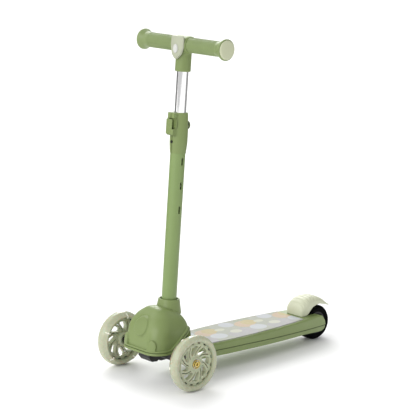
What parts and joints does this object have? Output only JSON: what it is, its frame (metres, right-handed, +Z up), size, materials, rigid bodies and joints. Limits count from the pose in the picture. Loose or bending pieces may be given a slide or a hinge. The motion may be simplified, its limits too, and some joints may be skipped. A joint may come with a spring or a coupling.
{
  "type": "kick scooter",
  "caption": "Child's kick scooter with a lean-to-steer front truck, height-adjustable T-bar, printed deck mat and a foot brake over the rear wheel.",
  "frame": {"origin": "on the floor, midway across and midway along the scooter at rest", "axes": "+Z up, -Y the way it rides (towards the two front wheels), X across along the handlebar; the height slots face +X"},
  "size_m": [0.2664, 0.5709, 0.727],
  "materials": {
    "sage_plastic": "matte sage green, moulded, fine grain",
    "sage_paint": "matte sage green powder coat",
    "cream_plastic": "pale cream green, satin",
    "badge_face": "off-white, glossy",
    "grip_rubber": "sage green soft grip",
    "clear_tyre": "translucent cream green polyurethane",
    "core_plastic": "cream green, glossy",
    "light_capsule": "clear over white circuit board",
    "black_tyre": "black polyurethane",
    "black_plastic": "black, fine grain",
    "black_metal": "black coated steel",
    "zinc_steel": "bright zinc plate",
    "bearing_steel": "ground steel with dark shields",
    "chrome": "polished chrome",
    "brass": "brass plate, satin",
    "black_rubber": "moulded rubber",
    "white_nylon": "natural nylon",
    "printed_mat": "grey green sheet printed with pastel ovals"
  },
  "bodies": {
    "deck": {"deck_upper_shell": "sage_plastic", "deck_lower_shell": "sage_plastic", "deck_grip_mat": "printed_mat", "deck_screws": "zinc_steel", "frame_screws": "zinc_steel", "front_frame": "black_metal", "dome_cover": "sage_plastic", "stem_tube": "sage_paint", "stem_guide_bush": "white_nylon", "stem_collar_cone": "sage_plastic", "stem_bolt": "black_metal", "clamp_collar": "sage_plastic", "clamp_bolt": "sage_paint", "collar_screw": "black_metal", "lever_pin": "zinc_steel", "release_spring": "zinc_steel", "kingpin_bolt": "zinc_steel", "kingpin_nut": "zinc_steel", "kingpin_washers": "zinc_steel", "centring_buffers": "black_rubber", "rear_axle": "zinc_steel", "rear_axle_washers": "zinc_steel", "brake_hinge_pin": "zinc_steel", "brake_springs": "zinc_steel"},
    "truck": {"axle_beam": "black_metal", "kingpin_bushes": "white_nylon", "front_axle_bolts": "brass"},
    "left_wheel": {"left_tyre": "clear_tyre", "left_light_modules": "light_capsule", "left_wheel_core": "core_plastic", "left_wheel_bearings": "bearing_steel", "left_wheel_spacer": "zinc_steel"},
    "right_wheel": {"right_tyre": "clear_tyre", "right_light_modules": "light_capsule", "right_wheel_core": "core_plastic", "right_wheel_bearings": "bearing_steel", "right_wheel_spacer": "zinc_steel"},
    "rear_wheel": {"rear_tyre": "black_tyre", "rear_wheel_core": "black_plastic", "rear_wheel_bearings": "bearing_steel", "rear_wheel_spacer": "zinc_steel"},
    "brake": {"brake_fender": "cream_plastic", "brake_shoe": "black_rubber"},
    "handlebar": {"inner_tube": "chrome", "inner_end_bush": "white_nylon", "t_housing": "sage_plastic", "badge_shield": "cream_plastic", "badge_oval": "badge_face", "handlebar_tube": "zinc_steel", "housing_screws": "black_metal", "left_grip": "grip_rubber", "right_grip": "grip_rubber", "left_grip_cap": "cream_plastic", "right_grip_cap": "cream_plastic", "detent_spring": "zinc_steel"},
    "detent_button": {"detent_button": "zinc_steel"},
    "release_button": {"release_button": "sage_plastic"},
    "clamp_lever": {"clamp_lever": "sage_plastic"}
  },
  "joints": [
    {"name": "truck_lean", "type": "hinge", "parent": "deck", "child": "truck", "pos_m": [0, -0.236, 0.068], "axis": [0, -0.7071, 0.7071], "range_deg": [-10, 10], "stiffness_Nm_per_rad": 25, "deforming": ["centring_buffers"]},
    {"name": "left_wheel_spin", "type": "hinge", "parent": "truck", "child": "left_wheel", "pos_m": [0.116, -0.228, 0.06], "axis": [1, 0, 0], "continuous": true},
    {"name": "right_wheel_spin", "type": "hinge", "parent": "truck", "child": "right_wheel", "pos_m": [-0.116, -0.228, 0.06], "axis": [1, 0, 0], "continuous": true},
    {"name": "rear_wheel_spin", "type": "hinge", "parent": "deck", "child": "rear_wheel", "pos_m": [0, 0.2429, 0.04], "axis": [1, 0, 0], "continuous": true},
    {"name": "brake_press", "type": "hinge", "parent": "deck", "child": "brake", "pos_m": [0, 0.19, 0.0715], "axis": [1, 0, 0], "range_deg": [-4.8, 0], "stiffness_Nm_per_rad": 2, "springref_deg": 3.44, "deforming": ["brake_springs"]},
    {"name": "bar_height", "type": "slide", "parent": "deck", "child": "handlebar", "axis": [0, 0.0645, 0.9979], "range_m": [-0.0511, 0.0511]},
    {"name": "detent_press", "type": "slide", "parent": "handlebar", "child": "detent_button", "axis": [-1, 0, 0], "range_m": [0, 0.002], "stiffness_N_per_m": 800, "springref_m": -0.002, "deforming": ["detent_spring"]},
    {"name": "release_press", "type": "slide", "parent": "deck", "child": "release_button", "axis": [0, -0.9979, 0.0645], "range_m": [0, 0.0014], "stiffness_N_per_m": 900, "springref_m": -0.001, "deforming": ["release_spring"]},
    {"name": "clamp_swing", "type": "hinge", "parent": "deck", "child": "clamp_lever", "pos_m": [-0.0095, -0.19232, 0.53651], "axis": [0, 0.0645, 0.9979], "range_deg": [-100, 0]}
  ]
}
